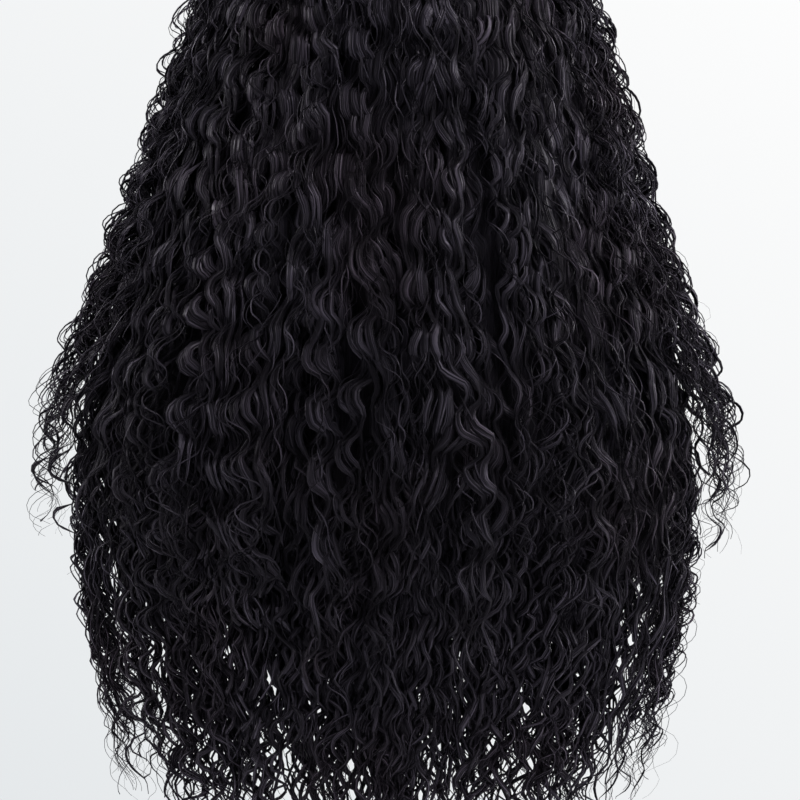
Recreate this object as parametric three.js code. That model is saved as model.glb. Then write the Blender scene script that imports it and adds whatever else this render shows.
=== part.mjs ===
// A long curly wig as it hangs when it is worn: a thin cap, and two layers of hair sewn to it.
// The upper layer leaves the parting and the crown and ends at the hips of the outline.
// The lower layer leaves the rim of the cap under it and hangs to the longest tips.
// Each layer is six wefts, and each weft is a row of wavy locks that run free at their ends.
// Millimetres, +Z up, the wearer's face towards -Y. The origin is the middle of the cap's rim plane.
import * as THREE from "three";

// The head that the cap is made for
const headWidth = 155;
const headLength = 195;
const headCrown = 112;

// The cap
const capWall = 1.5;
const napeDrop = 52; // how far the cap reaches below the rim plane at the nape
const earLift = 5; // how far the rim rises above the rim plane over the ears
const sideburnDrop = 13; // how far the tabs in front of the ears reach below the rim there
const temple = THREE.MathUtils.degToRad(117); // azimuth, from the back, of the hairline at the rim plane
const capColumns = 24;
const capRings = 5;

// The parting, as places on a unit sphere, and half its width
const partingFront = new THREE.Vector3(0, -0.8, 0.6);
const partingCrown = new THREE.Vector3(0, 0.3, 0.954);
const partingHalfWidth = 3;
const crownShare = 0.32; // the share of each side's hair that leaves the crown and not the parting

// The hair as it hangs, below the rim plane
const hairDrop = 652;
const spreadWidth = 462;
const spreadDepth = 246;
const partingVolume = 7; // depth of hair along the parting
const crownVolume = 19; // depth of hair high on the head
const rimVolume = 33; // depth of hair at the rim plane
const hangVolume = 52; // depth of hair where it hangs fullest
const upperDrop = 455; // drop of the upper layer's tips at the sides
const upperBackExtra = 95; // how much lower they are at the middle of the back
const upperFrontRise = 70; // how much higher they are at the front edges
const lowerFrontRise = 120; // the same for the lower layer
const ragged = 34; // how much the tips of one layer differ

// The curls
const curlPitch = 39;
const curlSway = 6.5; // sideways, each way
const curlDepth = 2.4; // in and out, each way
const curlsBegin = 30; // drop below the rim plane where the upper layer's waves begin
const lowerCurlsBegin = upperDrop - upperFrontRise - ragged - curlPitch; // above its first tips
const freeRun = 82; // the end of a lock that hangs clear of its neighbours, at least
const rowsPerCurl = 4;
const tipWidth = 0.12; // a lock's width and depth at its tip, as shares of what they are above
const tipDepth = 0.3;

// Clearances
const seatGap = 0.3;
const weftGap = 0.35;

// Sections of the hanging hair. drop is a share of hairDrop; width and depth are shares of half of
// spreadWidth and spreadDepth; back is the shift away from the face as a share of half of spreadDepth;
// sweep is the azimuth of the front edge in degrees; volume is a share of hangVolume.
const hang = [
  { drop: 0.092, width: 0.532, depth: 1.02, back: 0.07, sweep: 122, volume: 0.62 },
  { drop: 0.153, width: 0.58, depth: 1.0, back: 0.11, sweep: 127, volume: 0.72 },
  { drop: 0.253, width: 0.675, depth: 1.0, back: 0.15, sweep: 134, volume: 0.76 },
  { drop: 0.353, width: 0.765, depth: 1.0, back: 0.18, sweep: 140, volume: 0.8 },
  { drop: 0.452, width: 0.87, depth: 1.01, back: 0.19, sweep: 145, volume: 0.86 },
  { drop: 0.552, width: 0.965, depth: 1.01, back: 0.19, sweep: 148, volume: 0.93 },
  { drop: 0.621, width: 1.0, depth: 1.0, back: 0.19, sweep: 149, volume: 0.97 },
  { drop: 0.675, width: 1.0, depth: 0.98, back: 0.19, sweep: 150, volume: 1.0 },
  { drop: 0.752, width: 0.985, depth: 0.95, back: 0.18, sweep: 150, volume: 1.0 },
  { drop: 0.851, width: 0.925, depth: 0.91, back: 0.17, sweep: 150, volume: 1.0 },
  { drop: 1.0, width: 0.83, depth: 0.85, back: 0.15, sweep: 150, volume: 0.95 },
];

// The layers' places in the depth of hair, 0 at the inside and 1 at the outside: the inner side, the
// valleys between locks and the ridges along them. facet is the length of the faces that a layer lays
// on the back of the cap, curlFrom the fall where its waves begin, and drift sets its waves apart from
// the other layer's.
const layers = {
  lower: { inner: 0, valley: 0.3, ridge: 0.42, facet: 27, curlFrom: lowerCurlsBegin, drift: 1.9 },
  upper: { inner: 0.54, valley: 0.8, ridge: 1.0, facet: 24, curlFrom: curlsBegin, drift: 0 },
};

// The lower layer is sewn on at rootFall and is full at rootFull. The upper layer lies on the cap down
// to climbFrom and has climbed over the lower one's root at climbTo. All four are falls, in millimetres.
const rootFall = -22;
const rootFull = 4;
const climbFrom = -60;
const climbTo = -30;
const rootShare = 0.25; // thickness of the lower layer where it is sewn on
const domeValley = 0.62; // place of the valleys in the depth of hair on top of the head

// Wefts from the left front edge round the back to the right one. from and to are shares of the way
// from the middle of the back to a front edge.
const wefts = [
  { place: "left_front", side: 1, from: 0.66, to: 1.0, upperLocks: 4, lowerLocks: 3 },
  { place: "left_side", side: 1, from: 0.36, to: 0.66, upperLocks: 4, lowerLocks: 2 },
  { place: "left_back", side: 1, from: 0.0, to: 0.36, upperLocks: 4, lowerLocks: 3 },
  { place: "right_back", side: -1, from: 0.0, to: 0.36, upperLocks: 4, lowerLocks: 3 },
  { place: "right_side", side: -1, from: 0.36, to: 0.66, upperLocks: 4, lowerLocks: 2 },
  { place: "right_front", side: -1, from: 0.66, to: 1.0, upperLocks: 4, lowerLocks: 3 },
];

const capOuter = new THREE.Vector3(headWidth / 2, headLength / 2, headCrown).addScalar(capWall);
const capInner = capOuter.clone().subScalar(capWall);
const domeRun = (Math.PI / 4) * (capOuter.y + capOuter.z); // length of hair between parting and rim plane
const rowStep = curlPitch / rowsPerCurl;

const smooth = (t) => THREE.MathUtils.smoothstep(t, 0, 1);
const mix = THREE.MathUtils.lerp;
const ramp = (value, from, to) => smooth((value - from) / (to - from));

// A facet of the given length, laid on a curve of the given radius, dips by this much at its middle.
const facetDip = (length, radius) => (length * length) / (8 * radius);

// The value of a column of the table at a drop, on a smooth curve through the rows.
function hangAt(column, share) {
  const last = hang.length - 1;
  let i = 0;
  while (i < last - 1 && share > hang[i + 1].drop) i += 1;
  const slope = (k) => {
    const a = hang[Math.max(k - 1, 0)];
    const b = hang[Math.min(k + 1, last)];
    return (b[column] - a[column]) / (b.drop - a.drop);
  };
  const span = hang[i + 1].drop - hang[i].drop;
  const t = (share - hang[i].drop) / span;
  const t2 = t * t;
  const t3 = t2 * t;
  return (
    hang[i][column] * (2 * t3 - 3 * t2 + 1) +
    slope(i) * span * (t3 - 2 * t2 + t) +
    hang[i + 1][column] * (3 * t2 - 2 * t3) +
    slope(i + 1) * span * (t3 - t2)
  );
}

// The plan of the hair at a drop below the rim plane: an ellipse, the azimuth where it ends at the
// front and the depth of hair. It grows out of the cap's own plan.
function planAt(drop) {
  const blend = ramp(drop, 0, hang[1].drop * hairDrop);
  const share = Math.max(drop / hairDrop, hang[0].drop);
  const rim = {
    width: capOuter.x + rimVolume,
    depth: capOuter.y + rimVolume,
    back: 0,
    sweep: temple,
    volume: rimVolume,
  };
  const full = {
    width: (hangAt("width", share) * spreadWidth) / 2,
    depth: (hangAt("depth", share) * spreadDepth) / 2,
    back: (hangAt("back", share) * spreadDepth) / 2,
    sweep: THREE.MathUtils.degToRad(hangAt("sweep", share)),
    volume: hangAt("volume", share) * hangVolume,
  };
  return Object.fromEntries(Object.keys(rim).map((key) => [key, mix(rim[key], full[key], blend)]));
}

// Locks are spread more evenly along the flat back than the azimuth alone would spread them.
const backSpread = 0.18;
const azimuthOf = (u, sweep) => sweep * (u - (backSpread * Math.sin(2 * Math.PI * u)) / (2 * Math.PI));

// Where a lock leaves the parting, as a direction on the unit sphere.
function rootOf(u) {
  const side = Math.sign(u);
  const along = Math.max(0, (Math.abs(u) - crownShare) / (1 - crownShare));
  const turn = (Math.min(Math.abs(u) / crownShare, 1) * Math.PI) / 2;
  const onLine = partingCrown.clone().lerp(partingFront, along).normalize();
  onLine.x += (side * Math.sin(turn) * partingHalfWidth) / capOuter.x;
  onLine.y += (Math.cos(turn) * partingHalfWidth) / capOuter.y;
  return onLine.normalize();
}

// The point at t on the great circle from a to b, for two unit vectors.
function alongCircle(a, b, t) {
  const angle = a.angleTo(b);
  const start = a.clone().multiplyScalar(Math.sin((1 - t) * angle) / Math.sin(angle));
  return start.addScaledVector(b, Math.sin(t * angle) / Math.sin(angle));
}

// The shared map of the hair. u runs from -1 to 1 round the head, fall is the length of hair below the
// rim plane (negative on the head), and depth runs from 0 at the inside to 1 at the outside.
function hairPoint(u, fall, depth, lift) {
  if (fall < 0) {
    const t = 1 + fall / domeRun;
    const phi = azimuthOf(u, temple);
    const rim = new THREE.Vector3(Math.sin(phi), Math.cos(phi), 0);
    const way = alongCircle(rootOf(u), rim, t);
    const onHead = mix(crownVolume, rimVolume, smooth(t));
    const out = mix(lift, mix(partingVolume, onHead, ramp(t, 0, crownShare)), depth);
    return new THREE.Vector3(
      way.x * (capOuter.x + out),
      way.y * (capOuter.y + out),
      way.z * (capOuter.z + out),
    );
  }
  const plan = planAt(fall);
  const phi = azimuthOf(u, plan.sweep);
  const inside = plan.volume - mix(lift, 0, ramp(fall, napeDrop, 2 * napeDrop));
  const inset = (1 - depth) * inside;
  return new THREE.Vector3(
    (plan.width - inset) * Math.sin(phi),
    (plan.depth - inset) * Math.cos(phi) + plan.back,
    -fall,
  );
}

// The curl: a sideways sway and, a quarter turn behind it, a move in and out. Its phase drifts round
// the head, slowly enough that neighbours never cross. The front edges sway less, clear of the face.
function curled(u, fall, depth, layer) {
  const { inner, facet, curlFrom, drift } = layers[layer];
  const grown = ramp(fall, curlFrom, curlFrom + 2 * curlPitch);
  const phase = (2 * Math.PI * fall) / curlPitch + 1.7 * Math.sin(9 * u + drift) + Math.sin(21 * u);
  const plan = planAt(Math.max(fall, 0));
  const around = ((plan.width + plan.depth) / 2) * plan.sweep;
  const atFront = ramp(Math.abs(u), 0.9, 1);
  const sway = ((curlSway * grown) / around) * Math.sin(phase) * mix(1, 0.5, atFront);
  const offInside = Math.min((depth - inner) / 0.2, 1);
  const inOut = ((curlDepth * grown) / plan.volume) * Math.cos(phase) * offInside;
  const lift = seatGap + facetDip(facet, headWidth / 2);
  return hairPoint(u + sway, fall, depth + inOut, lift);
}

// The fall of a lock's tip: the layer's hem, less a ragged part that differs from lock to lock.
function tipFall(layer, u, index) {
  const back = smooth(1 - Math.abs(u) / 0.6);
  const front = ramp(Math.abs(u), 0.55, 1);
  const hems = {
    upper: upperDrop + upperBackExtra * back - upperFrontRise * front,
    lower: hairDrop - lowerFrontRise * front,
  };
  return hems[layer] - ragged * (0.5 + 0.5 * Math.sin(2.4 * index + layers[layer].drift));
}

// The places of a layer's inner side, valleys and ridges in the depth of hair at a fall.
function placesAt(layer, fall) {
  const { inner, valley, ridge } = layers[layer];
  if (layer === "upper") {
    const climb = ramp(fall, climbFrom, climbTo);
    return { inner: inner * climb, valley: mix(domeValley, valley, climb), ridge };
  }
  const grown = mix(rootShare, 1, ramp(fall, rootFall, rootFull));
  return { inner, valley: valley * grown, ridge: ridge * grown };
}

// The falls of a layer's rows of corners: far apart where it is straight, rowsPerCurl a curl below.
function rowsOf(layer) {
  const { facet, curlFrom } = layers[layer];
  const spaced = (from, to, step) => {
    const count = Math.ceil((to - from) / step);
    return Array.from({ length: count }, (_, i) => mix(from, to, i / count));
  };
  const stops = layer === "upper" ? [-domeRun, climbFrom, climbTo] : [rootFall, rootFull];
  const straight = stops.flatMap((from, i) =>
    spaced(from, stops[i + 1] ?? curlFrom, from < 0 ? facet : curlPitch),
  );
  const curls = Math.ceil((hairDrop - curlFrom) / curlPitch);
  return [...straight, ...spaced(curlFrom, curlFrom + curls * curlPitch, rowStep)];
}

// The rows where the inner side has corners too: all the straight ones, and one in each curl.
function innerRowsOf(layer, rows) {
  const firstCurled = rows.findIndex((fall) => fall >= layers[layer].curlFrom);
  return rows.filter((_, i) => i < firstCurled || (i - firstCurled) % rowsPerCurl === 0);
}

// Faces between two lines down the hair, each a list of { fall, corner } that starts at the same fall.
// The order of the two lines sets the way the faces lean, so both sides of a seam name the inner first.
function strip(a, b, flip) {
  const faces = [];
  let i = 0;
  let j = 0;
  while (i < a.length - 1 || j < b.length - 1) {
    const alongA = j === b.length - 1 || (i < a.length - 1 && a[i + 1].fall <= b[j + 1].fall);
    const next = alongA ? a[i + 1].corner : b[j + 1].corner;
    faces.push(flip ? [a[i].corner, next, b[j].corner] : [a[i].corner, b[j].corner, next]);
    if (alongA) i += 1;
    else j += 1;
  }
  return faces;
}

// A list of corners that lines and faces refer to by number.
function cornerList() {
  const positions = [];
  const add = (point) => {
    positions.push(point.x, point.y, point.z);
    return positions.length / 3 - 1;
  };
  return { positions, add };
}

// One weft as one closed mesh: locks side by side that share their edges down to where they part.
function weftGeometry({ side, from, to }, layer, lockCount, firstIndex) {
  const { positions, add } = cornerList();
  const rows = rowsOf(layer);
  const innerRows = innerRowsOf(layer, rows);
  const line = (falls, pointAt) => falls.map((fall) => ({ fall, corner: add(pointAt(fall)) }));

  const locks = Array.from({ length: lockCount }, (_, i) => {
    const u = side * mix(from, to, (i + 0.5) / lockCount);
    return { u, tip: tipFall(layer, u, firstIndex + i) };
  });

  // An edge has an inner line and a valley line, down to the inner row where its locks part. An edge on
  // the weft's border stays half a gap inside it.
  const edges = Array.from({ length: lockCount + 1 }, (_, i) => {
    const beside = [locks[i - 1], locks[i]].filter(Boolean);
    const onBorder = beside.length === 1;
    const inset = onBorder ? (i === 0 ? 1 : -1) * (weftGap / spreadWidth) : 0;
    const u = side * (mix(from, to, i / lockCount) + inset);
    const freeFrom = Math.min(...beside.map((lock) => lock.tip)) - freeRun;
    const parts = innerRows.filter((fall) => fall <= freeFrom).pop();
    const shared = (part, falls) =>
      line(
        falls.filter((fall) => fall <= parts),
        (fall) => curled(u, fall, placesAt(layer, fall)[part], layer),
      );
    return { u, parts, onBorder, inner: shared("inner", innerRows), valley: shared("valley", rows) };
  });

  // A lock's own lines go on below, and draw in towards the middle of the lock and its tip.
  function linesOf(lock, edge) {
    const own = (part, falls) =>
      line(
        falls.filter((fall) => fall > edge.parts && fall < lock.tip - rowStep / 2),
        (fall) => {
          const free = (fall - edge.parts) / (lock.tip - edge.parts);
          const places = placesAt(layer, fall);
          const middle = (places.inner + places.ridge) / 2;
          const u = mix(lock.u, edge.u, mix(1, tipWidth, free));
          return curled(u, fall, mix(middle, places[part], mix(1, tipDepth, free)), layer);
        },
      );
    return {
      inner: [...edge.inner, ...own("inner", innerRows)],
      valley: [...edge.valley, ...own("valley", rows)],
    };
  }

  const faces = locks.flatMap((lock, i) => {
    const beside = [edges[i], edges[i + 1]];
    const [left, right] = beside.map((edge) => linesOf(lock, edge));
    const firstParts = Math.min(...beside.map((edge) => edge.parts));
    const ridge = line(
      rows.filter((fall) => fall < lock.tip - rowStep / 2),
      (fall) => {
        const places = placesAt(layer, fall);
        const free = Math.max(0, (fall - firstParts) / (lock.tip - firstParts));
        const middle = (places.inner + places.ridge) / 2;
        return curled(lock.u, fall, mix(middle, places.ridge, mix(1, tipDepth, free)), layer);
      },
    );
    const outside = [...strip(left.valley, ridge, false), ...strip(ridge, right.valley, false)];
    const inside = strip(right.inner, left.inner, false);
    const flanks = [left, right].flatMap((lines, k) => {
      const start = beside[k].onBorder ? rows[0] : beside[k].parts;
      const open = (whole) => whole.filter(({ fall }) => fall >= start);
      return strip(open(lines.inner), open(lines.valley), k === 1);
    });
    const loop = [left.inner, left.valley, ridge, right.valley, right.inner];
    const top = loop.map((each) => each[0].corner);
    const end = loop.map((each) => each[each.length - 1].corner);
    const { inner: nearSide, ridge: farSide } = placesAt(layer, lock.tip);
    const tip = add(curled(lock.u, lock.tip, (nearSide + farSide) / 2, layer));
    const root = top.slice(1, -1).map((corner, k) => [top[0], top[k + 2], corner]);
    const point = end.map((corner, k) => [corner, end[(k + 1) % end.length], tip]);
    return [...outside, ...inside, ...flanks, ...root, ...point];
  });

  return solidGeometry(positions, side > 0 ? faces : faces.map(([a, b, c]) => [a, c, b]));
}

function solidGeometry(positions, faces) {
  const geometry = new THREE.BufferGeometry();
  geometry.setAttribute("position", new THREE.Float32BufferAttribute(positions, 3));
  geometry.setIndex(faces.flat());
  geometry.computeVertexNormals();
  return geometry;
}

// How far down from the pole the cap's rim lies at an azimuth, as an angle: past 90 degrees it is on
// the straight skirt below the rim plane. Across the forehead it follows the hairline.
function rimAngle(azimuth) {
  const a = Math.abs(azimuth);
  const templeWay = new THREE.Vector3(Math.sin(temple), Math.cos(temple), 0);
  const hairline = partingFront.clone().cross(templeWay);
  const rise = Math.atan(-(hairline.x * Math.sin(a) + hairline.y * Math.cos(a)) / hairline.z);
  if (a > temple) return Math.PI / 2 - rise;
  const behindEar = ramp(a, 0.3 * Math.PI, 0.47 * Math.PI);
  const beforeEar = ramp(a, 0.5 * Math.PI, 0.6 * Math.PI);
  const drop = mix(napeDrop, -earLift, behindEar) + sideburnDrop * beforeEar;
  return Math.PI / 2 + drop / capOuter.z;
}

function capPoint(azimuth, angle, semi) {
  const below = Math.max(0, angle - Math.PI / 2);
  const radius = Math.sin(Math.min(angle, Math.PI / 2));
  return new THREE.Vector3(
    semi.x * radius * Math.sin(azimuth),
    semi.y * radius * Math.cos(azimuth),
    semi.z * (Math.cos(angle - below) - below),
  );
}

// The cap: a dome of even wall, from the pole to its rim, whose edge joins the outside to the inside.
function capGeometry() {
  const { positions, add } = cornerList();
  const faces = [];
  const skin = (semi) => {
    const pole = add(new THREE.Vector3(0, 0, semi.z));
    const grid = Array.from({ length: capRings }, (_, ring) =>
      Array.from({ length: capColumns }, (_, column) => {
        const azimuth = (column / capColumns) * 2 * Math.PI - Math.PI;
        return add(capPoint(azimuth, (rimAngle(azimuth) * (ring + 1)) / capRings, semi));
      }),
    );
    return { pole, grid };
  };
  const outer = skin(capOuter);
  const inner = skin(capInner);
  for (let c = 0; c < capColumns; c += 1) {
    const next = (c + 1) % capColumns;
    faces.push([outer.pole, outer.grid[0][next], outer.grid[0][c]]);
    faces.push([inner.pole, inner.grid[0][c], inner.grid[0][next]]);
    for (let r = 1; r < capRings; r += 1) {
      const [a, b] = [outer.grid[r - 1], outer.grid[r]];
      faces.push([a[c], a[next], b[next]], [a[c], b[next], b[c]]);
      const [d, e] = [inner.grid[r - 1], inner.grid[r]];
      faces.push([d[c], e[next], d[next]], [d[c], e[c], e[next]]);
    }
    const [o, n] = [outer.grid[capRings - 1], inner.grid[capRings - 1]];
    faces.push([o[c], o[next], n[next]], [o[c], n[next], n[c]]);
  }
  return solidGeometry(positions, faces);
}

const hairMaterial = new THREE.MeshStandardMaterial({ color: 0x1b191f, roughness: 0.42, metalness: 0 });
const netMaterial = new THREE.MeshStandardMaterial({ color: 0x141316, roughness: 0.85, metalness: 0 });

const wig = new THREE.Group();

const cap = new THREE.Mesh(capGeometry(), netMaterial);
cap.name = "cap";
wig.add(cap);

for (const layer of ["lower", "upper"]) {
  let firstIndex = 0;
  for (const weft of wefts) {
    const lockCount = weft[`${layer}Locks`];
    const mesh = new THREE.Mesh(weftGeometry(weft, layer, lockCount, firstIndex), hairMaterial);
    mesh.name = `${layer}_weft_${weft.place}`;
    wig.add(mesh);
    firstIndex += lockCount;
  }
}

export default wig;
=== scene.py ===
# The looks of a long curly wig: strands of hair gathered into wavy locks, over a shell of hair that
# keeps the light out and is dark with painted shade, and the net cap that they are sewn to. Lengths are
# in metres, and the frame is the CAD model's: +Z up, the wearer's face towards -Y, the origin in the
# cap's rim plane.
import math

import bpy
import numpy as np
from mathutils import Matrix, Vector


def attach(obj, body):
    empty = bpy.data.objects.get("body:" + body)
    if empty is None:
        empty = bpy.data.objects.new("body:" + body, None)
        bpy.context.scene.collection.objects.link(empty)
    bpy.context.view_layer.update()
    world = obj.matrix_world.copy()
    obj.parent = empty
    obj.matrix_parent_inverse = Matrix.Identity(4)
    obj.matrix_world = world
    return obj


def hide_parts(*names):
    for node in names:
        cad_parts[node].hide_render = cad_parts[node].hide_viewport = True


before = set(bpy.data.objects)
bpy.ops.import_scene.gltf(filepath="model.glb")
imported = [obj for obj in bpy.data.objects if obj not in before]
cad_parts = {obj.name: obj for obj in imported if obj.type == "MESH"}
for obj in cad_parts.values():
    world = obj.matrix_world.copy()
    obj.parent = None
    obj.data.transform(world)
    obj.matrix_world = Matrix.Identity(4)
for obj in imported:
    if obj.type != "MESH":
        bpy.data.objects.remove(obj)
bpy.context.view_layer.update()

rng = np.random.default_rng(20)

MM = 0.001
TURN = 2 * math.pi

# The cap and the hair, as the CAD model has them
head = np.array([155, 195, 2 * 112]) * MM / 2
cap_wall = 1.5 * MM
cap_outer = head + cap_wall
nape_drop = 52 * MM
ear_lift = 5 * MM
sideburn_drop = 13 * MM
temple = math.radians(117)
parting_front = np.array([0, -0.8, 0.6])
parting_crown = np.array([0, 0.3, 0.954])
parting_half_width = 3 * MM
crown_share = 0.32
dome_run = math.pi / 4 * (cap_outer[1] + cap_outer[2])

hair_drop = 652 * MM
spread_width = 462 * MM
spread_depth = 246 * MM
parting_volume = 7 * MM
crown_volume = 19 * MM
rim_volume = 33 * MM
hang_volume = 52 * MM
upper_drop = 455 * MM
upper_back_extra = 95 * MM
upper_front_rise = 70 * MM
lower_front_rise = 120 * MM
seat_gap = 0.8 * MM
back_spread = 0.18

# What the photograph adds to the CAD model's shape: the hair leans to the wearer's left, growing from the
# first fall to the second, and the tips are shorter at the sides, in the upper layer on the left alone
lean = 8 * MM
lean_falls = (-40 * MM, 430 * MM)
upper_side_rise = 22 * MM
lower_side_rise = 32 * MM

# Sections of the hanging hair. drop is a share of hair_drop; width, depth and back are shares of half
# of spread_width and spread_depth; sweep is the azimuth of the front edge in degrees; volume is a
# share of hang_volume. Above the flare they are a little narrower than the CAD model's.
hang_columns = ("drop", "width", "depth", "back", "sweep", "volume")
hang_rows = (
    (0.092, 0.532, 1.02, 0.07, 122, 0.62),
    (0.153, 0.58, 1.0, 0.11, 127, 0.72),
    (0.253, 0.665, 1.0, 0.15, 134, 0.76),
    (0.353, 0.745, 1.0, 0.18, 140, 0.8),
    (0.452, 0.847, 1.01, 0.19, 145, 0.86),
    (0.552, 0.962, 1.01, 0.19, 148, 0.93),
    (0.621, 1.0, 1.0, 0.19, 149, 0.97),
    (0.675, 1.0, 0.98, 0.19, 150, 1.0),
    (0.752, 0.985, 0.95, 0.18, 150, 1.0),
    (0.851, 0.925, 0.91, 0.17, 150, 1.0),
    (1.0, 0.83, 0.85, 0.15, 150, 0.95),
)
hang = dict(zip(hang_columns, np.array(hang_rows).T))

# The places of the wefts round the head, from the middle of the back to the front edge
weft_stops = {"back": (0.0, 0.36), "side": (0.36, 0.66), "front": (0.66, 1.01)}

# Shares of the way round a side where something starts, is full, fades and ends
thin_side_stops = (0.38, 0.46, 0.64, 0.72)
short_side_stops = (0.3, 0.5, 0.7, 0.9)


def mix(a, b, t):
    return a + (b - a) * t


def ramp(value, low, high):
    t = np.clip((value - low) / (high - low), 0, 1)
    return t * t * (3 - 2 * t)


def between(value, start, full, fading, end):
    """1 from full to fading, and 0 up to start and from end on."""
    return ramp(value, start, full) * (1 - ramp(value, fading, end))


# The shared map of the hair

def plan_at(drop):
    """Width, depth, shift to the back, sweep and volume of the hair at drops below the rim plane."""
    share = np.clip(drop / hair_drop, hang["drop"][0], 1)
    blend = ramp(drop, 0, hang["drop"][1] * hair_drop)

    def column(name):
        return np.interp(share, hang["drop"], hang[name])

    width = mix(cap_outer[0] + rim_volume, column("width") * spread_width / 2, blend)
    depth = mix(cap_outer[1] + rim_volume, column("depth") * spread_depth / 2, blend)
    back = mix(0, column("back") * spread_depth / 2, blend)
    sweep = mix(temple, np.radians(column("sweep")), blend)
    volume = mix(rim_volume, column("volume") * hang_volume, blend)
    return width, depth, back, sweep, volume


def azimuth_of(u, sweep):
    return sweep * (u - back_spread * np.sin(TURN * u) / TURN)


def unit(v):
    return v / np.maximum(np.linalg.norm(v, axis=-1, keepdims=True), 1e-12)


def root_of(u):
    """Where a lock leaves the parting, as a direction."""
    along = np.clip((np.abs(u) - crown_share) / (1 - crown_share), 0, 1)[..., None]
    turn = np.clip(np.abs(u) / crown_share, 0, 1) * math.pi / 2
    line = unit(mix(parting_crown, parting_front, along))
    line[..., 0] += np.sign(u) * np.sin(turn) * parting_half_width / cap_outer[0]
    line[..., 1] += np.cos(turn) * parting_half_width / cap_outer[1]
    return unit(line)


def around_at(fall):
    """The length of one side of the hair, from the middle of the back to a front edge."""
    width, depth, _, sweep, _ = plan_at(np.maximum(fall, 0))
    on_head = np.clip(1 + fall / dome_run, 0.25, 1)
    return (width + depth) / 2 * sweep * np.where(fall < 0, on_head, 1)


def volume_at(fall):
    t = np.clip(1 + fall / dome_run, 0, 1)
    on_head = mix(parting_volume, mix(crown_volume, rim_volume, ramp(t, 0, 1)), ramp(t, 0, crown_share))
    return np.where(fall < 0, on_head, plan_at(np.maximum(fall, 0))[4])


def hair_point(u, fall, depth):
    """The point at a share u of the way round, a length of hair below the rim plane, and a depth."""
    u, fall, depth = np.broadcast_arrays(u, fall, depth)
    t = np.clip(1 + fall / dome_run, 0, 1)
    phi = azimuth_of(u, temple)
    rim = np.stack([np.sin(phi), np.cos(phi), np.zeros_like(phi)], axis=-1)
    root = root_of(u)
    angle = np.arccos(np.clip((root * rim).sum(-1), -1, 1))
    a = (np.sin((1 - t) * angle) / np.sin(angle))[..., None]
    b = (np.sin(t * angle) / np.sin(angle))[..., None]
    out = mix(seat_gap, volume_at(np.minimum(fall, 0)), depth)[..., None]
    on_head = (a * root + b * rim) * (cap_outer + out)

    width, deep, back, sweep, volume = plan_at(np.maximum(fall, 0))
    phi = azimuth_of(u, sweep)
    inset = (1 - depth) * (volume - seat_gap)
    hanging = np.stack(
        [(width - inset) * np.sin(phi), (deep - inset) * np.cos(phi) + back, -fall], axis=-1
    )
    return np.where((fall < 0)[..., None], on_head, hanging)


def thin_side(u):
    """How far a place is one of those at the sides where the hair is thin, 0 to 1."""
    return between(np.abs(u), *thin_side_stops)


def hem(layer, u):
    """The fall of a layer's tips."""
    front = ramp(np.abs(u), 0.55, 1)
    if layer == "upper":
        back = ramp(1 - np.abs(u) / 0.6, 0, 1)
        drop = upper_drop + upper_back_extra * back - upper_front_rise * front
        return drop - upper_side_rise * thin_side(u) * (u > 0)
    side = between(np.abs(u), *short_side_stops)
    return hair_drop - lower_front_rise * front - lower_side_rise * side


# Waves

def waves(count, lengths, sizes):
    """Slow random curves, one for each of count strands: a function of a length along them."""
    phase = rng.uniform(0, TURN, (count, len(lengths)))
    stretch = rng.uniform(0.8, 1.25, (count, len(lengths)))

    def at(s):
        total = 0
        for k, (length, size) in enumerate(zip(lengths, sizes)):
            total = total + size * np.sin(TURN * s / (length * stretch[:, k:k + 1]) + phase[:, k:k + 1])
        return total

    return at


# Meshes of tubes

def run_along(points, axis):
    """The running length of rows of points along an axis, from 0."""
    run = np.cumsum(np.linalg.norm(np.diff(points, axis=axis), axis=-1), axis=axis)
    return np.concatenate([np.zeros_like(run.take([0], axis=axis)), run], axis=axis)


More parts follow.
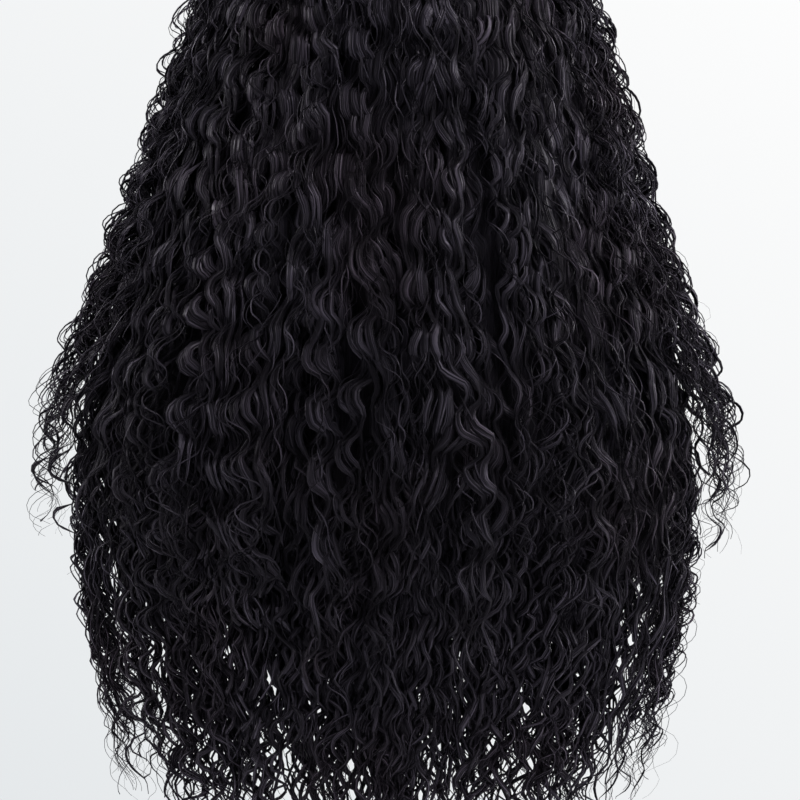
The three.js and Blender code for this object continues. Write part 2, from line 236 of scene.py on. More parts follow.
class Bundle:
    """Closed surfaces that are gathered for one piece, with the tones, which carry painted light and
    shade, and the places along fibres.
    """

    def __init__(self):
        self.corners = []
        self.faces = []
        self.uvs = []
        self.tones_and_painted_light = []
        self.count = 0

    def add(self, paths, radii, outward, sides, tones_and_painted_light, flat):
        """Adds tubes. paths is strands x points x 3, radii and tones are strands x points, and outward is
        the way that they face."""
        strands, points, _ = paths.shape
        along = unit(np.gradient(paths, axis=1))
        normal = unit(outward - (outward * along).sum(-1, keepdims=True) * along)
        across = np.cross(along, normal)
        turn = np.arange(sides) * TURN / sides + math.pi / 2
        ring = (
            normal[:, :, None] * (np.sin(turn) * flat)[None, None, :, None]
            + across[:, :, None] * np.cos(turn)[None, None, :, None]
        )
        corners = paths[:, :, None] + ring * radii[:, :, None, None]
        index = np.arange(strands * points * sides).reshape(strands, points, sides) + self.count
        nxt = np.roll(index, -1, axis=2)
        walls = np.stack([index[:, :-1], nxt[:, :-1], nxt[:, 1:], index[:, 1:]], axis=-1).reshape(-1, 4)
        run = run_along(paths, 1)
        girth = TURN * radii.max(axis=1, keepdims=True)
        low_u = np.arange(sides) / sides
        quad_u = np.stack([low_u, low_u + 1 / sides, low_u + 1 / sides, low_u], axis=-1)
        wall_u = np.broadcast_to(
            girth[:, :, None, None] * quad_u[None, None], (strands, points - 1, sides, 4)
        )
        low, high = run[:, :-1, None], run[:, 1:, None]
        wall_v = np.broadcast_to(
            np.stack([low, low, high, high], axis=-1), (strands, points - 1, sides, 4)
        )
        shift = rng.uniform(0, 10, (strands, 1, 1, 1))
        wall_uv = np.stack([wall_u + shift, wall_v], axis=-1).reshape(-1, 4, 2)
        ends = [index[:, 0, ::-1], index[:, -1]]
        self.corners.append(corners.reshape(-1, 3))
        self.faces.append(walls)
        self.uvs.append(wall_uv.reshape(-1, 2))
        for end in ends:
            self.faces.append(end)
            self.uvs.append(np.zeros((strands * sides, 2)))
        self.tones_and_painted_light.append(np.repeat(tones_and_painted_light.reshape(-1), sides))
        self.count += strands * points * sides

    def mesh(self, name):
        mesh = bpy.data.meshes.new(name)
        corners = np.concatenate(self.corners)
        sizes = np.concatenate([np.full(len(f), f.shape[1]) for f in self.faces])
        loops = np.concatenate([f.reshape(-1) for f in self.faces])
        mesh.vertices.add(len(corners))
        mesh.vertices.foreach_set("co", corners.astype(np.float32).ravel())
        mesh.loops.add(len(loops))
        mesh.loops.foreach_set("vertex_index", loops.astype(np.int32))
        mesh.polygons.add(len(sizes))
        starts = np.concatenate([[0], np.cumsum(sizes)[:-1]])
        mesh.polygons.foreach_set("loop_start", starts.astype(np.int32))
        mesh.update(calc_edges=True)
        layer = mesh.uv_layers.new(name="fibre")
        layer.data.foreach_set("uv", np.concatenate(self.uvs).astype(np.float32).ravel())
        tone_and_painted_light = mesh.attributes.new("tone_and_painted_light", "FLOAT", "POINT")
        tone_and_painted_light.data.foreach_set("value", np.concatenate(self.tones_and_painted_light).astype(np.float32))
        mesh.polygons.foreach_set("use_smooth", np.ones(len(sizes), dtype=bool))
        return mesh


bundles = {}


def bundle_for(layer, u):
    side = "left" if u > 0 else "right"
    place = next(k for k, (low, high) in weft_stops.items() if low <= abs(u) < high or k == "front")
    return bundles.setdefault(f"{layer}_{side}_{place}", Bundle())


# Where a strand keeps a point on each turn of its wave, for the numbers of points a turn. Above
# coarse_until, on the head, coarse_bends are enough, and none is kept within end_room of an end.
bend_phases = {
    10: np.radians([32, 60, 90, 120, 148, 212, 240, 270, 300, 328]),
    8: np.radians([35, 70, 110, 145, 215, 250, 290, 325]),
    6: np.radians([42, 90, 138, 222, 270, 318]),
    4: np.radians([55, 125, 235, 305]),
}
coarse_bends = 4
coarse_until = -40 * MM
end_room = 0.3


def bends_of(phase, fall, fine):
    """The points to keep of a strand: close together round its bends, and few on the head."""
    turns = np.arange(np.floor(phase[0] / TURN), np.ceil(phase[-1] / TURN) + 1)[:, None] * TURN
    bends = (turns + bend_phases[fine]).ravel()
    on_head = (turns + bend_phases[coarse_bends]).ravel()
    start = np.interp(coarse_until, fall, phase)
    wanted = np.concatenate([on_head[on_head < start], bends[bends >= start]])
    inside = wanted[(wanted > phase[0] + end_room) & (wanted < phase[-1] - end_room)]
    kept = np.searchsorted(phase, np.concatenate([[phase[0]], inside, [phase[-1]]]))
    return np.unique(np.clip(kept, 0, len(phase) - 1))


# Slow waves that bend a lock's strands, as lengths and sizes. The first five change its curls and the
# others its path. Two more take their sizes from the style.
lock_waves = {
    "phase": ((210 * MM,), (0.9,)),
    "tips": ((110 * MM,), (0.9,)),
    "frizz": ((130 * MM,), (1.0,)),
    "size": ((240 * MM,), (0.22,)),
    "plane": ((330 * MM,), (0.35,)),
    "wander_out": ((190 * MM,), (2.0 * MM,)),
    "stray": ((170 * MM, 75 * MM), (1.3 * MM, 0.5 * MM)),
    "stray_out": ((160 * MM, 60 * MM), (0.8 * MM, 0.3 * MM)),
}
apart_length = 170 * MM
wander_lengths = (260 * MM, 130 * MM)

# Locks at the front have fewer strands and wider ribbons
front_from = 0.62
front_strands = 0.7
front_width = 1.35

# Limits and thicknesses of strands. Flatness is a section's thickness over its width.
strand_step = 1.1 * MM
farthest_share = 1.06
least_depth = 0.03
ribbon_flatness = 0.42
fibre_flatness = 0.8
core_flatness = 0.6
core_sides = 6
core_least = 0.4 * MM


def add_lock(layer, u, depth, root, tip, style):
    """One lock: ribbons and fibres that wave together, round a filled core where the style has one."""
    front = front_from < abs(u)
    ribbons = round(style["ribbons"] * (front_strands if front else 1))
    fibres = round(style["fibres"] * (front_strands if front else 1))
    number = 1 + ribbons + fibres
    pitch = style["pitch"] * rng.uniform(0.85, 1.18)
    points = int((tip - root) / strand_step)
    share = np.linspace(0, 1, points)[None]

    # Each strand's place in the lock, the core's first: across it, and in and out
    across = np.concatenate([[0], np.linspace(-0.85, 0.85, ribbons), rng.uniform(-1.1, 1.1, fibres)])
    across[1:] += rng.normal(0, 0.1, number - 1)
    out = np.concatenate([[0], rng.uniform(-0.5, 0.8, ribbons), rng.uniform(-0.8, 1.0, fibres)])
    across, out = across[:, None], out[:, None]
    frizz = style["frizz"] * (np.arange(number) > ribbons)[:, None]

    # Its points as falls, and how far they are from its tip
    short = rng.uniform(0, 1, (number, 1)) ** 1.5 * style["uneven"]
    short[0] = min(60 * MM, 0.4 * (tip - root))
    fall = root + (tip - short - root) * share
    left = tip - short - fall
    tips = 1 - ramp(left, 0, style["loosens"])
    shown = mix(0.2, 1, ramp(fall, -dome_run + 40 * MM, 60 * MM))

    # Its curls
    own_pitch = pitch * rng.normal(1, style["drift"], (number, 1))
    phase = (
        TURN * (fall - root) / own_pitch
        + rng.uniform(0, TURN)
        + waves(1, *lock_waves["phase"])(fall)
        + waves(number, (apart_length,), (style["apart"],))(fall)
        + tips * waves(number, *lock_waves["tips"])(fall)
        + frizz * waves(number, *lock_waves["frizz"])(fall)
    )
    phase = np.maximum.accumulate(phase, axis=1)
    size = rng.uniform(0.75, 1.2) * (1 + waves(1, *lock_waves["size"])(fall))
    size = size * rng.normal(1, 0.12, (number, 1)) * shown * (1 + style["hook"] * tips)
    plane = rng.choice([-1, 1]) * rng.uniform(0.3, 1) * style["plane"]
    plane = plane + waves(1, *lock_waves["plane"])(fall)
    hand = rng.choice([-0.5, 0.5])
    swing = style["sway"] * size * np.sin(phase)
    cross = style["sway"] * size * np.cos(phase) * hand
    sideways = swing * np.cos(plane) - cross * np.sin(plane)
    outwards = swing * np.sin(plane) + cross * np.cos(plane)

    # Its path
    wander = waves(1, wander_lengths, (style["wander"], 0.35 * style["wander"]))(fall)
    wander_out = waves(1, *lock_waves["wander_out"])(fall)
    narrow = 1 + 0.2 * np.sin(2 * phase[:1] + rng.uniform(0, TURN)) + 0.4 * tips
    stray = waves(number, *lock_waves["stray"])(fall) * (1 + 1.2 * tips + frizz)
    stray_out = waves(number, *lock_waves["stray_out"])(fall) * (1 + 1.2 * tips)
    free = mix(0.3, 1, ramp(fall, -dome_run, -20 * MM))
    aside = (sideways + wander + style["half"][0] * across * narrow + stray) * free
    off = outwards + wander_out + style["half"][1] * out + stray_out
    own_u = np.clip(u + aside / around_at(fall), -farthest_share, farthest_share)
    risen = mix(0.2, 1, ramp(fall, -dome_run, -dome_run + 50 * MM))
    own_depth = np.maximum((depth + off * free / volume_at(fall)) * risen, least_depth)
    round_bends = -0.2 * own_pitch / TURN * np.sin(2 * phase) * shown
    path = hair_point(own_u, fall + round_bends, own_depth)
    path[..., 0] += lean * ramp(fall, *lean_falls)

    # The way that its ribbons face
    place = np.full_like(fall, u)
    outward = unit(hair_point(place, fall, 1.0) - hair_point(place, fall, 0.0))
    sidewards = np.cross(outward, np.array([0, 0, -1.0])) * np.sign(u)
    facing = outward + (0.5 * np.sin(phase) + 0.35 * across)[..., None] * sidewards

    # Its thickness and its tone, with a painted highlight on the crests of the curls and painted shade in
    # their troughs
    taper = mix(0.3, 1, ramp(left, 0, style["taper"])) * mix(0.6, 1, ramp(share, 0, 0.05))
    ribbon = style["ribbon"] * (front_width if front else 1)
    wide = np.concatenate([[0], np.full(ribbons, ribbon), np.full(fibres, style["fibre"])])
    swell = 1 + style["swell"] * outwards / style["sway"]
    radius = (wide * rng.uniform(0.75, 1.25, number))[:, None] * taper * swell
    crest = outwards / (style["sway"] * size * np.hypot(np.sin(plane), 0.5 * np.cos(plane)))
    lit = mix(0.3, 1, ramp(crest, -0.5, 0.8))
    tones_and_painted_light = np.clip(rng.uniform(0.4, 1) + rng.normal(0, 0.12, (number, 1)), 0.2, 1) * lit
    tones_and_painted_light = mix(tones_and_painted_light, 1, 0.4 * thin_side(u))
    if layer == "lower":
        tones_and_painted_light = mix(tones_and_painted_light, 1.4, 0.6 * tips)

    bundle = bundle_for(layer, u)
    for k in range(1, number):
        kept = bends_of(phase[k], fall[k], style["fine"])
        sides, flat = (style["sides"], ribbon_flatness) if k <= ribbons else (3, fibre_flatness)
        strand = (slice(k, k + 1), kept)
        bundle.add(path[strand], radius[strand], facing[strand], sides, tones_and_painted_light[strand], flat)
    if style["core"]:
        core = style["core"] * ramp(left[:1], 60 * MM, 200 * MM)
        core = core * mix(0.35, 1, ramp(fall[:1], -dome_run, 40 * MM)) + core_least
        strand = (slice(0, 1), bends_of(phase[0], fall[0], coarse_bends))
        # The core is darker than its strands: painted shade inside the lock
        core_painted_shade = 0.5 * tones_and_painted_light[strand]
        bundle.add(path[strand], core[strand], outward[strand], core_sides, core_painted_shade, core_flatness)


def spread(count, jitter, gathered=1.0):
    """Shares round the head, one in each of count steps, which are smaller at the back if gathered."""
    step = 2 / count
    u = -1 + step * (np.arange(count) + 0.5 + rng.uniform(-jitter, jitter, count))
    return np.clip(np.sign(u) * np.abs(u) ** gathered, -0.985, 0.985)


# The styles of the locks. The first table has the numbers of ribbons and fibres and of a ribbon's sides,
# the radii of a ribbon, a fibre and the core and the lock's half width and depth in millimetres, and how
# many points a strand keeps a turn. The second has the curls and the tips. Of these pitch to taper are
# in millimetres, but plane, the most that the curls turn outwards, is in radians, and so is apart, how
# far the strands' phases differ. The others are shares.
strand_columns = ("ribbons", "sides", "fibres", "ribbon", "fibre", "core", "half", "fine")
strand_rows = {
    "outer": (3, 4, 3, 2.6, 0.42, 0, (5.4, 2.6), 10),
    "middle": (2, 3, 0, 3.2, 0.7, 7.0, (6.5, 2.5), 6),
    "loose": (0, 3, 3, 1.5, 0.58, 0, (4.5, 3.5), 10),
    "edge": (1, 3, 3, 1.4, 0.55, 0, (4.0, 4.5), 10),
    "hem": (2, 3, 4, 1.7, 0.58, 0, (3.8, 3.8), 10),
    "fill": (3, 3, 0, 2.6, 0.8, 0, (7.0, 4.0), 6),
    "inner": (3, 3, 0, 2.4, 0.8, 0, (9.0, 3.0), 6),
    "stray": (0, 3, 1, 1.5, 0.27, 0, (3.0, 3.0), 8),
}
curl_columns = (
    "pitch", "sway", "plane", "wander", "uneven", "loosens", "taper",
    "hook", "drift", "apart", "swell", "frizz",
)
curl_rows = {
    "outer": (37, 4.3, 1.15, 5.0, 60, 110, 150, 0.4, 0.004, 0.2, 0.3, 0.8),
    "middle": (36, 3.8, 0.9, 4.5, 60, 110, 150, 0.3, 0.006, 0.2, 0.2, 0),
    "loose": (32, 4.8, 1.5, 8.0, 70, 120, 60, 0.3, 0.012, 0.5, 0.1, 0),
    "edge": (32, 5.8, 1.57, 9.0, 80, 120, 60, 0.3, 0.012, 0.6, 0, 0),
    "hem": (33, 4.8, 1.2, 9.0, 70, 110, 64, 0.4, 0.015, 0.3, 0, 0.2),
    "fill": (34, 4.6, 1.1, 8.0, 60, 120, 90, 0.3, 0.02, 0.4, 0, 0),
    "inner": (34, 4.0, 0.6, 5.0, 60, 120, 110, 0.3, 0.01, 0.4, 0, 0),
    "stray": (36, 5.2, 1.5, 12.0, 50, 60, 60, 0.3, 0.03, 0.5, 0, 0),
}
in_millimetres = (
    "ribbon", "fibre", "core", "half", "pitch", "sway", "wander", "uneven", "loosens", "taper",
)
styles = {}
for name, row in strand_rows.items():
    style = dict(zip(strand_columns + curl_columns, row + curl_rows[name]))
    styles[name] = style | {column: np.array(style[column]) * MM for column in in_millimetres}


def draw_mm(low, high):
    """A random length from low to high millimetres, in metres."""
    return rng.uniform(low, high) * MM


def both_sides(low, high, left, right):
    """Random shares round the head from low to high, as many on each side as is said."""
    return np.concatenate([rng.uniform(low, high, left), -rng.uniform(low, high, right)])


def add_upper_locks():
    for u in spread(58, 0.4):
        tip = hem("upper", u) + draw_mm(-60, 15)
        root = -dome_run + draw_mm(0, 6)
        add_lock("upper", u, rng.uniform(0.52, 0.76), root, tip, styles["outer"])
    for u in spread(40, 0.4):
        tip = hem("upper", u) + draw_mm(-80, 0)
        root = -dome_run + draw_mm(0, 6)
        add_lock("upper", u, rng.uniform(0.4, 0.52), root, tip, styles["middle"])
    for u in spread(44, 0.5):
        root = draw_mm(-60, 160)
        tip = hem("upper", u) + draw_mm(-120, 20)
        add_lock("upper", u, rng.uniform(0.64, 0.84), root, tip, styles["loose"])


def add_side_locks():
    """Locks that make the outline at the sides ragged."""
    for u in both_sides(0.46, 0.6, 2, 6):
        root = draw_mm(100, 200)
        tip = hem("upper", u) + draw_mm(-60, 10)
        add_lock("upper", u, rng.uniform(0.64, 0.84), root, tip, styles["loose"])
    for u in both_sides(0.44, 0.7, 13, 16):
        root = draw_mm(20, 220)
        tip = hem("upper", u) + draw_mm(-80, 10)
        add_lock("upper", u, rng.uniform(0.72, 0.93), root, tip, styles["edge"])
    for u in both_sides(0.44, 0.7, 8, 8):
        root = draw_mm(360, 430)
        tip = hem("lower", u) + draw_mm(-80, 10)
        add_lock("lower", u, rng.uniform(0.2, 0.36), root, tip, styles["edge"])


def add_lower_locks():
    """Locks of the lower layer: its hem, what fills it, and the long ones from the cap's rim."""
    places = [spread(98, 0.5, 1.7) - 0.014, rng.uniform(-0.42, -0.14, 6)]
    for u in np.concatenate(places):
        if rng.uniform(0, 1) < 0.3 * thin_side(u):
            continue
        tip = hem("lower", u) + draw_mm(-35, 22)
        root = hem("upper", u) - draw_mm(110, 160)
        add_lock("lower", u, rng.uniform(0.06, 0.36), root, tip, styles["hem"])
    places = [spread(110, 0.5, 1.65) - 0.018, rng.uniform(-0.42, -0.14, 9), rng.uniform(0.2, 0.34, 4)]
    for u in np.concatenate(places):
        if rng.uniform(0, 1) < 0.55 * thin_side(u):
            continue
        tip = hem("lower", u) + draw_mm(-50, 12) - draw_mm(0, 40) * thin_side(u)
        root = hem("upper", u) - draw_mm(150, 200)
        add_lock("lower", u, rng.uniform(0.05, 0.3), root, tip, styles["fill"])
    for u in spread(38, 0.3, 1.2):
        tip = hem("lower", u) + draw_mm(-70, 0) - draw_mm(60, 150) * thin_side(u)
        add_lock("lower", u, rng.uniform(0.12, 0.2), -10 * MM, tip, styles["inner"])


def add_strays():
    """Single fibres off the locks."""
    for u in spread(190, 0.5):
        low = draw_mm(-60, 330)
        high = min(low + draw_mm(80, 200), hem("upper", u) + 20 * MM)
        add_lock("upper", u, rng.uniform(0.72, 1.0), low, high, styles["stray"])
    for u in spread(90, 0.5, 1.35):
        low = hem("lower", u) - draw_mm(100, 220)
        high = min(low + draw_mm(90, 170), hem("lower", u) + 20 * MM)
        add_lock("lower", u, rng.uniform(0.1, 0.46), low, high, styles["stray"])


def add_long_locks():
    """A few more locks that hang close together left of the middle, as in the photograph."""
    for u, style in zip(rng.uniform(0.17, 0.27, 5), ("hem", "fill", "hem", "fill", "hem")):
        tip = hem("lower", u) + draw_mm(-10, 25)
        root = hem("upper", u) - draw_mm(110, 140)
        add_lock("lower", u, rng.uniform(0.1, 0.3), root, tip, styles[style])


add_upper_locks()
add_side_locks()
add_lower_locks()
add_strays()
add_long_locks()


# The shell inside the locks

shell_top = -dome_run * 0.93
shell_bottom = 520 * MM
shell_side_rise = 130 * MM
shell_front = 0.975
shell_columns, shell_rows = 30, 48
shell_wave = 0.035
shell_pitch = 33 * MM
# The shell's low tone is painted shade
shell_painted_shade = 0.1


def add_shell():
    """A closed shell of hair inside the locks, dark with painted shade, a panel for each lower weft."""
    for low, high in weft_stops.values():
        for side in (-1, 1):
            u = side * np.linspace(low, min(high, shell_front), shell_columns)
            ragged = 26 * MM * np.sin(83 * u) + 18 * MM * np.sin(157 * u + 1)
            drop = shell_bottom - shell_side_rise * ramp(np.abs(u), 0.25, 0.6) + ragged
            t = np.linspace(0, 1, shell_rows)[:, None]
            fall = shell_top + (drop - shell_top)[None] * t
            wave = shell_wave * np.sin(TURN * fall / shell_pitch + 3 * np.sin(9 * u[None]))
            thin = ramp(1 - t, 0, 0.35)
            outer = hair_point(u[None], fall, mix(0.12, 0.44, thin) + wave * mix(0.3, 1, thin))
            inner = hair_point(u[None], fall, mix(0.04, 0.22, thin) * ramp(fall, -60 * MM, 0) + 0.02)
            add_panel(bundle_for("lower", side * (low + high) / 2), outer, inner, side)


def add_panel(bundle, outer, inner, side):
    rows, columns, _ = outer.shape
    index = np.arange(rows * columns).reshape(rows, columns) + bundle.count
    back = index + rows * columns
    quads = []
    quads.append(np.stack([index[:-1, :-1], index[1:, :-1], index[1:, 1:], index[:-1, 1:]], -1))
    quads.append(np.stack([back[:-1, :-1], back[:-1, 1:], back[1:, 1:], back[1:, :-1]], -1))
    for line, flip in ((0, False), (-1, True)):
        wall = [index[line, :-1], index[line, 1:], back[line, 1:], back[line, :-1]]
        quads.append(np.stack(wall[::-1] if flip else wall, -1))
        wall = [index[1:, line], index[:-1, line], back[:-1, line], back[1:, line]]
        quads.append(np.stack(wall[::-1] if flip else wall, -1))
    quads = np.concatenate([q.reshape(-1, 4) for q in quads])
    if side < 0:
        quads = quads[:, ::-1]
    corners = np.concatenate([outer.reshape(-1, 3), inner.reshape(-1, 3)])
    place = np.stack([run_along(outer, 1), run_along(outer, 0)], axis=-1).reshape(-1, 2)
    place = np.concatenate([place, place])
    bundle.corners.append(corners)
    bundle.faces.append(quads)
    bundle.uvs.append(place[quads.reshape(-1) - bundle.count])
    bundle.tones_and_painted_light.append(np.full(len(corners), shell_painted_shade))
    bundle.count += len(corners)


add_shell()


# The cap

cap_columns, cap_rings = 72, 24
first_ring = 0.02
cap_tone = 0.5
cap_uv_height = 0.18


def rim_angle(azimuth):
    a = np.abs(azimuth)
    temple_way = np.array([math.sin(temple), math.cos(temple), 0])
    line = np.cross(parting_front, temple_way)
    rise = np.arctan(-(line[0] * np.sin(a) + line[1] * np.cos(a)) / line[2])
    behind_ear = ramp(a, 0.3 * math.pi, 0.47 * math.pi)
    before_ear = ramp(a, 0.5 * math.pi, 0.6 * math.pi)
    drop = mix(nape_drop, -ear_lift, behind_ear) + sideburn_drop * before_ear
    return np.where(a > temple, math.pi / 2 - rise, math.pi / 2 + drop / cap_outer[2])


def cap_points(azimuth, angle, semi):
    below = np.maximum(0, angle - math.pi / 2)
    radius = np.sin(np.minimum(angle, math.pi / 2))
    return np.stack(
        [
            semi[0] * radius * np.sin(azimuth),
            semi[1] * radius * np.cos(azimuth),
            semi[2] * (np.cos(angle - below) - below),
        ],
        axis=-1,
    )


def cap_mesh():
    azimuth = np.linspace(-math.pi, math.pi, cap_columns, endpoint=False)
    share = np.linspace(first_ring, 1, cap_rings)[:, None]
    angle = rim_angle(azimuth)[None] * share
    bundle = Bundle()
    skins = [cap_points(azimuth[None] + 0 * angle, angle, semi) for semi in (cap_outer, head)]
    back = cap_rings * cap_columns
    index = np.arange(back).reshape(cap_rings, cap_columns)
    after = np.roll(index, -1, axis=1)
    outer = np.stack([index[:-1], index[1:], after[1:], after[:-1]], -1).reshape(-1, 4)
    inner = outer[:, ::-1] + back
    rim = np.stack([index[-1], index[-1] + back, after[-1] + back, after[-1]], -1)
    faces = np.concatenate([outer, inner, rim])
    top = [index[:1], index[:1, ::-1] + back]
    bundle.corners.append(np.concatenate([s.reshape(-1, 3) for s in skins]))
    bundle.faces += [faces, *top]
    girth = np.tile(azimuth, cap_rings) * head[0]
    place = np.stack([girth, np.repeat(share[:, 0], cap_columns) * cap_uv_height], -1)
    place = np.concatenate([place, place])
    bundle.uvs += [place[faces.reshape(-1)], *[place[t.reshape(-1)] for t in top]]
    bundle.tones_and_painted_light.append(np.full(2 * back, cap_tone))
    return bundle.mesh("cap_net")


# Materials

# Streaks along the fibres: the noise's scale across and along them, and where it turns from dark to light
fine_streaks = ((760, 11, 1), 0.43, 0.57)
broad_streaks = ((330, 9, 1), 0.36, 0.6)

# The darkest and lightest colours of the hair and of its warmer places, and the net's threads and gaps
hair_colours = ((0.0014, 0.0011, 0.0028), (0.088, 0.077, 0.104))
warm_colours = ((0.0018, 0.0010, 0.0018), (0.1, 0.076, 0.102))
net_colours = ((0.03, 0.028, 0.033), (0.006, 0.006, 0.007))


def feed(tree, node, inputs):
    """Gives each of the inputs its value, or joins it to the output that is given instead of one."""
    for socket, value in inputs.items():
        if isinstance(value, bpy.types.NodeSocket):
            tree.links.new(value, node.inputs[socket])
        else:
            node.inputs[socket].default_value = value


def add_node(tree, kind, inputs=None, **settings):
    """A new shader node, with its settings and its inputs, as feed takes them."""
    node = tree.nodes.new(f"ShaderNode{kind}")
    for name, value in settings.items():
        setattr(node, name, value)
    feed(tree, node, inputs or {})
    return node


def colour_ramp(tree, factor, colours, end=1.0):
    """The output of a ramp between two colours, the second of them from end on."""
    node = add_node(tree, "ValToRGB", {"Fac": factor})
    first, last = node.color_ramp.elements
    first.color = (*colours[0], 1)
    last.color = (*colours[1], 1)
    last.position = end
    return node.outputs["Color"]


def new_material(name):
    material = bpy.data.materials.new(name)
    material.use_nodes = True
    return material, material.node_tree, material.node_tree.nodes["Principled BSDF"]


def streak_lines(tree, scale, low, high):
    """Light and dark lines along the fibres, from a noise that is stretched in the fibre uv map."""
    uv = add_node(tree, "UVMap", uv_map="fibre").outputs["UV"]
    place = add_node(tree, "Mapping", {"Scale": scale, "Vector": uv}).outputs["Vector"]
    noise = add_node(tree, "TexNoise", {"Scale": 1, "Detail": 2, "Vector": place}, noise_dimensions="2D")
    span = {"From Min": low, "From Max": high, "Value": noise.outputs["Fac"]}
    return add_node(tree, "MapRange", span, interpolation_type="SMOOTHSTEP").outputs["Result"]


def hair_material():
    material, tree, shader = new_material("hair_fibre")
    fine = streak_lines(tree, *fine_streaks)
    broad = streak_lines(tree, *broad_streaks)
    heights = add_node(tree, "Math", {0: fine, 1: broad}, operation="ADD").outputs["Value"]
    bump = add_node(tree, "Bump", {"Strength": 0.8, "Distance": 0.0009, "Height": heights})

    # The tone of each point, which holds painted highlights on the crests of the curls and painted shade
    # in their troughs, in the cores and in the shell, times the streaks gives the place on the colour
    # ramps
    tone_and_painted_light = add_node(tree, "Attribute", attribute_name="tone_and_painted_light").outputs["Fac"]
    parted = add_node(tree, "MapRange", {"To Min": 0.25, "Value": broad}).outputs["Result"]
    streaks = add_node(tree, "Math", {0: fine, 1: parted, 2: 0.04}, operation="MULTIPLY_ADD")
    mixed = add_node(tree, "Math", {0: tone_and_painted_light, 1: streaks.outputs["Value"]}, operation="MULTIPLY")
    cool = colour_ramp(tree, mixed.outputs["Value"], hair_colours)
    warm = colour_ramp(tree, mixed.outputs["Value"], warm_colours)

    # A slow noise says where the hair is warmer
    where = add_node(tree, "TexCoord").outputs["Object"]
    spots = add_node(tree, "TexNoise", {"Scale": 11, "Vector": where}).outputs["Fac"]
    share = add_node(tree, "MapRange", {"From Min": 0.48, "From Max": 0.75, "Value": spots})
    blend = {"Factor": share.outputs["Result"], "A": cool, "B": warm}
    tinted = add_node(tree, "Mix", blend, data_type="RGBA")
    rough = add_node(tree, "MapRange", {"To Min": 0.9, "To Max": 0.33, "Value": fine})
    feed(tree, shader, {
        "Base Color": tinted.outputs["Result"],
        "Roughness": rough.outputs["Result"],
        "Normal": bump.outputs["Normal"],
        "Specular IOR Level": 0.22,
        "Specular Tint": (0.94, 0.86, 1.0, 1),
    })
    return material


def net_material():
    material, tree, shader = new_material("cap_net")
    place = add_node(tree, "TexCoord").outputs["Object"]
    cells = add_node(tree, "TexVoronoi", {"Scale": 620, "Vector": place}, feature="DISTANCE_TO_EDGE")
    edge = cells.outputs["Distance"]
    bump = add_node(tree, "Bump", {"Strength": 0.5, "Distance": 0.0004, "Height": edge}, invert=True)
    feed(tree, shader, {
        "Base Color": colour_ramp(tree, edge, net_colours, 0.2),
        "Roughness": 0.8,
        "Normal": bump.outputs["Normal"],
        "Specular IOR Level": 0.25,
    })
    return material


# Pieces

def place_piece(mesh, name, material, node):
    piece = bpy.data.objects.new(name, mesh)
    bpy.context.scene.collection.objects.link(piece)
    mesh.materials.append(material)
    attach(piece, "root")
    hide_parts(node)


hair = hair_material()
for key in sorted(bundles):
    layer, side, place = key.split("_")
    mesh = bundles[key].mesh(f"hair_{key}")
    place_piece(mesh, f"hair_{key}", hair, f"{layer}_weft_{side}_{place}")
place_piece(cap_mesh(), "cap_net", net_material(), "cap")


# Floor

floor_drop = 1.55
floor_radius = 6.0
floor_corners = 96


def floor_material():
    """A pale floor that fades out towards its edge."""
    material, tree, shader = new_material("floor")
    place = add_node(tree, "TexCoord").outputs["Object"]
    flat = add_node(tree, "Mapping", {"Scale": (1 / floor_radius, 1 / floor_radius, 0), "Vector": place})
    fade = add_node(tree, "TexGradient", {"Vector": flat.outputs["Vector"]}, gradient_type="SPHERICAL")
    span = {"From Max": 0.75, "Value": fade.outputs["Fac"]}
    shown = add_node(tree, "MapRange", span, interpolation_type="SMOOTHSTEP")
    feed(tree, shader, {
        "Base Color": (0.82, 0.83, 0.85, 1),
        "Roughness": 0.9,
        "Emission Color": (0.9, 0.92, 0.94, 1),
        "Emission Strength": 0.4,
        "Alpha": shown.outputs["Result"],
    })
    return material


floor_mesh = bpy.data.meshes.new("floor")
turns = np.linspace(0, TURN, floor_corners, endpoint=False)
corners = [(floor_radius * math.cos(a), floor_radius * math.sin(a), -floor_drop) for a in turns]
floor_mesh.from_pydata(corners, [], [tuple(range(len(corners)))])
floor = bpy.data.objects.new("floor", floor_mesh)
bpy.context.scene.collection.objects.link(floor)
floor_mesh.materials.append(floor_material())


# Light

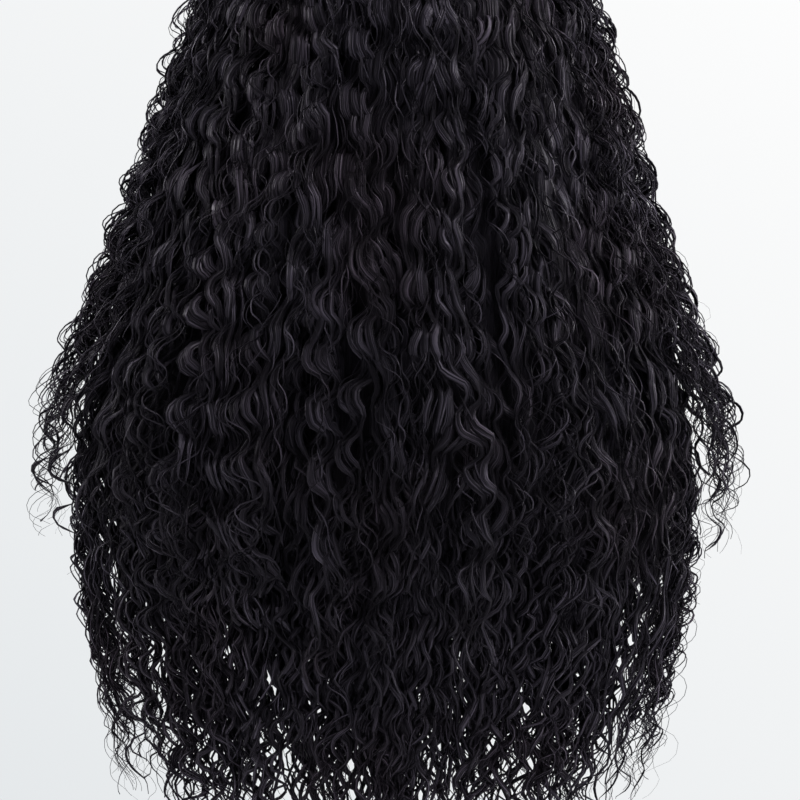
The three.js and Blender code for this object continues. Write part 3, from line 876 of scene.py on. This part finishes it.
def light_world():
    """The camera sees a pale backdrop that brightens to white, and all else a dim, cool light."""
    world = bpy.data.worlds.new("studio")
    bpy.context.scene.world = world
    world.use_nodes = True
    tree = world.node_tree
    way = add_node(tree, "TexCoord").outputs["Generated"]
    tilt = {"Rotation": (0, 0.9, 0), "Scale": (-2.2, 1, 2.2), "Location": (0.5, 0, 0), "Vector": way}
    slope = add_node(tree, "Mapping", tilt, vector_type="POINT")
    gradient = add_node(tree, "TexGradient", {"Vector": slope.outputs["Vector"]})
    seen = tree.nodes["Background"]
    pale = colour_ramp(tree, gradient.outputs["Fac"], ((0.76, 0.79, 0.81), (1.0, 1.0, 1.0)))
    feed(tree, seen, {"Color": pale, "Strength": 1.0})
    lit = add_node(tree, "Background", {"Color": (0.9, 0.94, 1.0, 1), "Strength": 0.1})
    ray = add_node(tree, "LightPath").outputs["Is Camera Ray"]
    shaders = {"Fac": ray, 1: lit.outputs["Background"], 2: seen.outputs["Background"]}
    blend = add_node(tree, "MixShader", shaders)
    feed(tree, tree.nodes["World Output"], {"Surface": blend.outputs["Shader"]})


def softbox(name, place, target, size, power):
    light = bpy.data.lights.new(name, "AREA")
    light.shape = "DISK"
    light.size = size
    light.energy = power
    lamp = bpy.data.objects.new(name, light)
    lamp.location = place
    lamp.rotation_euler = (Vector(target) - Vector(place)).to_track_quat("-Z", "Y").to_euler()
    bpy.context.scene.collection.objects.link(lamp)


light_world()
middle = (0, 0, -0.3)
softbox("key", (-0.9, 1.4, 1.8), middle, 0.9, 42)
softbox("fill", (1.5, 1.3, 1.2), middle, 1.2, 9)
softbox("right_rim", (-2.2, -0.3, 0.5), middle, 1.4, 60)
softbox("left_rim", (2.2, -0.3, 0.6), middle, 1.4, 38)
softbox("front", (0.3, -2.0, 0.9), middle, 1.4, 28)


# Camera: behind the wig, with view_width in its picture at the plane of the widest hair

view_width = 520 * MM
picture_plane = 0.02
distance = 2.0
sensor = 36
bpy.context.scene.view_settings.view_transform = "Standard"
camera_data = bpy.data.cameras.new("camera")
camera_data.sensor_width = sensor
camera_data.lens = sensor * (distance - picture_plane) / view_width
camera = bpy.data.objects.new("camera", camera_data)
camera.location = (-0.002, distance, -0.36)
camera.rotation_euler = (math.pi / 2, 0, math.pi)
bpy.context.scene.collection.objects.link(camera)
bpy.context.scene.camera = camera
